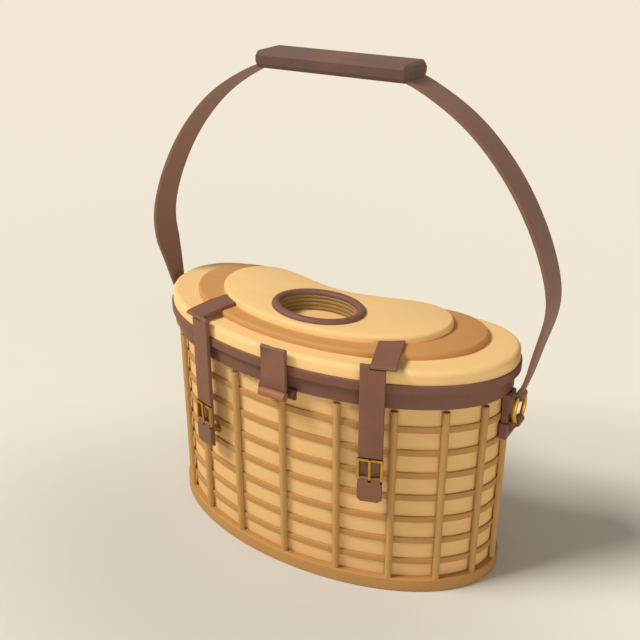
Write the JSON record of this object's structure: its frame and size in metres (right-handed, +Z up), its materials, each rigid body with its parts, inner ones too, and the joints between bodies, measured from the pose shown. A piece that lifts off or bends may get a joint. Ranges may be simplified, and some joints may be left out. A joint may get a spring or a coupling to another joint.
{
  "type": "fishing creel",
  "caption": "Wicker fishing creel with a kidney-shaped basket, tiered hinged lid with a fish hole and flap, buckled closing straps, toggle latch and swinging strap handle.",
  "frame": {"origin": "underside of the base, at the middle of the length and on the middle line of the plan", "axes": "+Z up, +X along the length to the right seen from the convex front, which faces -Y"},
  "size_m": [0.409, 0.17, 0.461],
  "materials": {
    "wall_cane": "satin",
    "band_cane": "satin",
    "stake_cane": "satin",
    "base_rim_cane": "satin",
    "hoop_wood": "satin",
    "binding_leather": "matte",
    "lid_cane": "satin",
    "strap_leather": "matte",
    "grip_leather": "matte",
    "toggle_wood": "satin",
    "keeper_wood": "satin",
    "brass": "polished"
  },
  "bodies": {
    "basket": {"base_panel": "wall_cane", "basket_wall": "wall_cane", "base_rim": "base_rim_cane", "weaver_band_1": "band_cane", "weaver_band_2": "band_cane", "weaver_band_3": "band_cane", "weaver_band_4": "band_cane", "weaver_band_5": "band_cane", "weaver_band_6": "band_cane", "weaver_band_7": "band_cane", "wall_stakes": "stake_cane", "rim_hoop": "hoop_wood", "rim_band": "binding_leather", "latch_keeper": "keeper_wood", "left_press_stud": "brass", "left_ring_patch": "strap_leather", "left_ring_chape": "strap_leather", "left_hinge_body_leaf": "strap_leather", "left_hinge_pin": "brass", "right_press_stud": "brass", "right_ring_patch": "strap_leather", "right_ring_chape": "strap_leather", "right_hinge_body_leaf": "strap_leather", "right_hinge_pin": "brass"},
    "lid": {"lid_hoop": "hoop_wood", "lid_edge_binding": "binding_leather", "lid_lower_tier": "lid_cane", "lid_middle_tier": "band_cane", "lid_upper_tier": "lid_cane", "throat_coils": "lid_cane", "hole_ring": "binding_leather", "flap_hinge_bracket": "brass", "flap_hinge_pin": "brass", "latch_anchor": "strap_leather", "latch_pin": "brass", "left_top_strap": "strap_leather", "left_strap_fold_pin": "brass", "left_hinge_lid_leaf": "strap_leather", "right_top_strap": "strap_leather", "right_strap_fold_pin": "brass", "right_hinge_lid_leaf": "strap_leather"},
    "fish_flap": {"fish_flap": "lid_cane"},
    "latch": {"latch_tab": "strap_leather", "latch_toggle": "toggle_wood"},
    "handle": {"handle_strap": "strap_leather", "handle_grip": "grip_leather"},
    "left_strap": {"left_closing_strap": "strap_leather", "left_strap_end": "strap_leather", "left_stud_socket": "brass"},
    "left_buckle": {"left_buckle_frame": "brass"},
    "left_prong": {"left_buckle_prong": "brass"},
    "left_ring": {"left_handle_ring": "brass"},
    "right_strap": {"right_closing_strap": "strap_leather", "right_strap_end": "strap_leather", "right_stud_socket": "brass"},
    "right_buckle": {"right_buckle_frame": "brass"},
    "right_prong": {"right_buckle_prong": "brass"},
    "right_ring": {"right_handle_ring": "brass"}
  },
  "joints": [
    {"name": "lid_hinge", "type": "hinge", "parent": "basket", "child": "lid", "pos_m": [0, 0.05491, 0.2102], "axis": [-1, 0, 0], "range_deg": [0, 105]},
    {"name": "flap_hinge", "type": "hinge", "parent": "lid", "child": "fish_flap", "pos_m": [0, -0.0045, 0.2216], "axis": [1, 0, 0], "range_deg": [0, 75], "stiffness_Nm_per_rad": 0.004, "springref_deg": -57.3},
    {"name": "latch_hinge", "type": "hinge", "parent": "lid", "child": "latch", "pos_m": [0, -0.1048, 0.2345], "axis": [-1, 0, 0], "range_deg": [0, 95]},
    {"name": "handle_swing", "type": "hinge", "parent": "basket", "child": "handle", "pos_m": [0, 0, 0.1805], "axis": [1, 0, 0], "range_deg": [-85, 85]},
    {"name": "left_strap_fold", "type": "hinge", "parent": "lid", "child": "left_strap", "pos_m": [-0.0884, -0.09192, 0.236], "axis": [-0.9537, 0.3006, 0], "range_deg": [0, 100]},
    {"name": "left_buckle_hinge", "type": "hinge", "parent": "left_strap", "child": "left_buckle", "pos_m": [-0.08897, -0.09373, 0.128], "axis": [0.9537, -0.3006, 0], "range_deg": [0, 90]},
    {"name": "left_prong_hinge", "type": "hinge", "parent": "left_buckle", "child": "left_prong", "pos_m": [-0.08897, -0.09373, 0.128], "axis": [0.9537, -0.3006, 0], "range_deg": [0, 30]},
    {"name": "left_ring_swing", "type": "hinge", "parent": "basket", "child": "left_ring", "pos_m": [-0.1839, 0, 0.1805], "axis": [1, 0, 0], "range_deg": [-85, 85]},
    {"name": "right_strap_fold", "type": "hinge", "parent": "lid", "child": "right_strap", "pos_m": [0.0884, -0.09192, 0.236], "axis": [-0.9537, -0.3006, 0], "range_deg": [0, 100]},
    {"name": "right_buckle_hinge", "type": "hinge", "parent": "right_strap", "child": "right_buckle", "pos_m": [0.08897, -0.09373, 0.128], "axis": [0.9537, 0.3006, 0], "range_deg": [0, 90]},
    {"name": "right_prong_hinge", "type": "hinge", "parent": "right_buckle", "child": "right_prong", "pos_m": [0.08897, -0.09373, 0.128], "axis": [0.9537, 0.3006, 0], "range_deg": [0, 30]},
    {"name": "right_ring_swing", "type": "hinge", "parent": "basket", "child": "right_ring", "pos_m": [0.1839, 0, 0.1805], "axis": [1, 0, 0], "range_deg": [-85, 85]}
  ],
  "couplings": [
    {"joint": "left_ring_swing", "follows": "handle_swing", "ratio": 1},
    {"joint": "right_ring_swing", "follows": "handle_swing", "ratio": 1}
  ]
}
